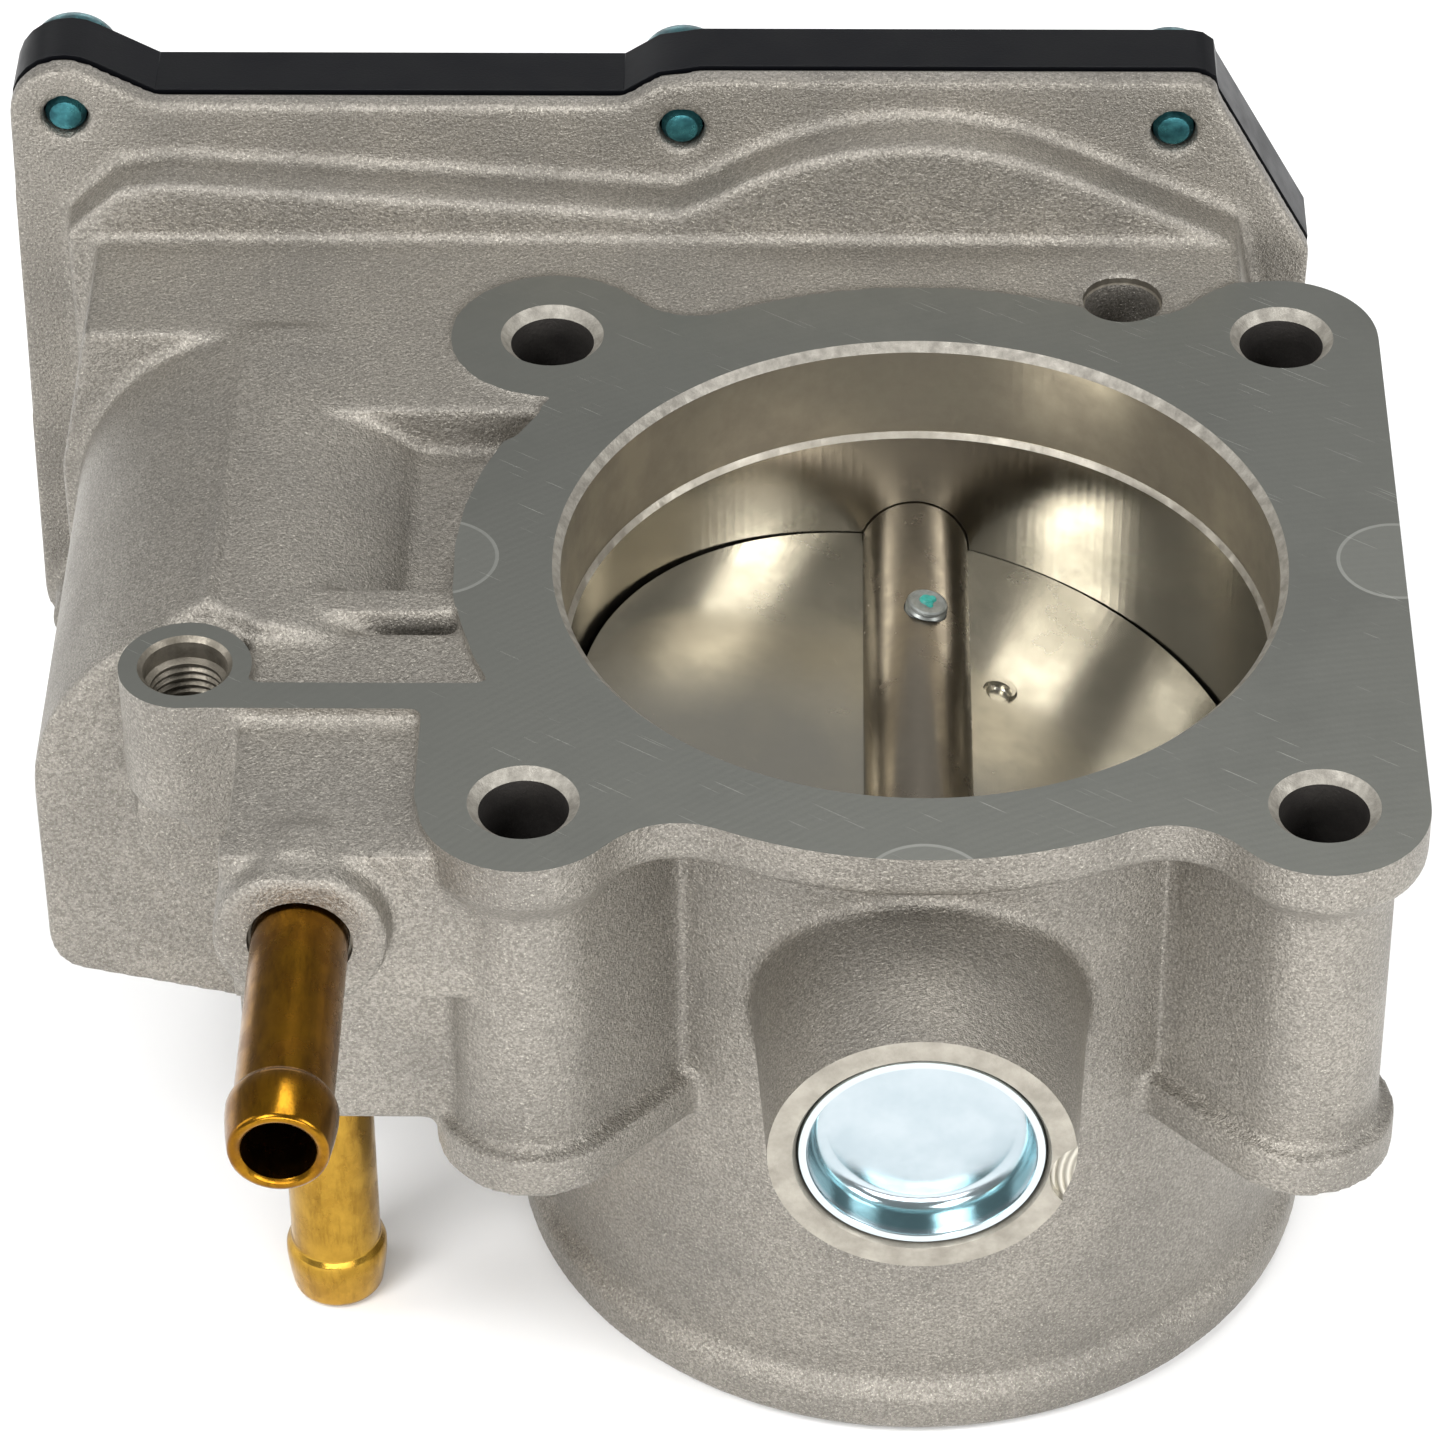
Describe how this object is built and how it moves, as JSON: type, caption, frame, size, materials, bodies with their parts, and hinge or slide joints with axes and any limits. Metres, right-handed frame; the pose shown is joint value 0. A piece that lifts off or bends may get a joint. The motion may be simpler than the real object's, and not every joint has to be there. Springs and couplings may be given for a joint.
{
  "type": "throttle body",
  "caption": "Electronic throttle body: cast housing with a round bore, tilting plate on a cross shaft, gear case with motor, bolted flange and coolant pipes.",
  "frame": {"origin": "on the throttle bore's axis, in the machined face that bolts to the intake manifold", "axes": "+Z along the bore, out of the flange face; +Y along the throttle shaft towards the gear case; the motor is on the -X side"},
  "size_m": [0.1342, 0.1485, 0.0908],
  "materials": {
    "cast_aluminium": "die cast, fine grain, machined faces",
    "steel": "ground steel",
    "plate_brass": "brushed sheet",
    "zinc_plate": "bright zinc plated",
    "teal_zinc": "teal passivated zinc",
    "pipe_brass": "tarnished",
    "black_plastic": "moulded",
    "gear_plastic": "moulded",
    "rubber": "moulded",
    "bearing_steel": "ground",
    "can_steel": "drawn, zinc plated",
    "ferrite": "pressed",
    "windings": "enamelled copper on a steel stack",
    "spring_steel": "drawn wire",
    "circuit_board": "coated board",
    "tin_plate": "tin plated"
  },
  "bodies": {
    "housing_body": {"housing": "cast_aluminium", "shaft_cup_plug": "zinc_plate", "front_bearing_outer_ring": "bearing_steel", "front_bearing_shield": "rubber", "front_shaft_seal": "rubber", "rear_shaft_bearing": "bearing_steel", "rear_shaft_seal": "rubber", "return_spring": "spring_steel", "spring_bush": "gear_plastic", "idler_pin": "steel", "motor_can": "can_steel", "motor_magnet_upper": "ferrite", "motor_magnet_lower": "ferrite", "motor_end_cap": "black_plastic", "motor_retainer": "can_steel", "motor_screw_1": "teal_zinc", "motor_screw_2": "teal_zinc", "motor_terminal_1": "tin_plate", "motor_terminal_2": "tin_plate", "front_coolant_pipe": "pipe_brass", "lower_coolant_pipe": "pipe_brass", "gear_cover": "black_plastic", "cover_gasket": "rubber", "sensor_board": "circuit_board", "cover_screw_top_left": "teal_zinc", "cover_screw_top_middle": "teal_zinc", "cover_screw_top_right": "teal_zinc", "cover_screw_bottom_right": "teal_zinc", "cover_screw_bottom_middle": "teal_zinc", "cover_screw_bottom_left": "teal_zinc", "connector_pin_1": "tin_plate", "connector_pin_2": "tin_plate", "connector_pin_3": "tin_plate", "connector_pin_4": "tin_plate", "connector_pin_5": "tin_plate", "connector_pin_6": "tin_plate"},
    "throttle": {"throttle_shaft": "steel", "throttle_plate": "plate_brass", "plate_screw_front": "teal_zinc", "plate_screw_rear": "teal_zinc", "front_bearing_inner_ring": "bearing_steel", "sector_gear": "gear_plastic", "sector_gear_insert": "steel", "shaft_nut": "teal_zinc", "sensor_magnet": "ferrite"},
    "idler": {"idler_gear": "gear_plastic"},
    "motor_armature": {"motor_rotor": "windings", "motor_shaft": "steel", "motor_pinion": "pipe_brass"}
  },
  "joints": [
    {"name": "throttle_turn", "type": "hinge", "parent": "housing_body", "child": "throttle", "pos_m": [0, 0, -0.0239], "axis": [0, 1, 0], "range_deg": [-5, 79], "stiffness_Nm_per_rad": 0.12, "deforming": ["return_spring"]},
    {"name": "idler_turn", "type": "hinge", "parent": "housing_body", "child": "idler", "pos_m": [-0.03713, 0, -0.025], "axis": [0, 1, 0], "range_deg": [-290, 20]},
    {"name": "motor_turn", "type": "hinge", "parent": "housing_body", "child": "motor_armature", "pos_m": [-0.06126, 0, -0.02044], "axis": [0, 1, 0], "range_deg": [-85, 1305]}
  ],
  "couplings": [
    {"joint": "idler_turn", "follows": "throttle_turn", "ratio": -3.625},
    {"joint": "motor_turn", "follows": "throttle_turn", "ratio": 16.477}
  ]
}
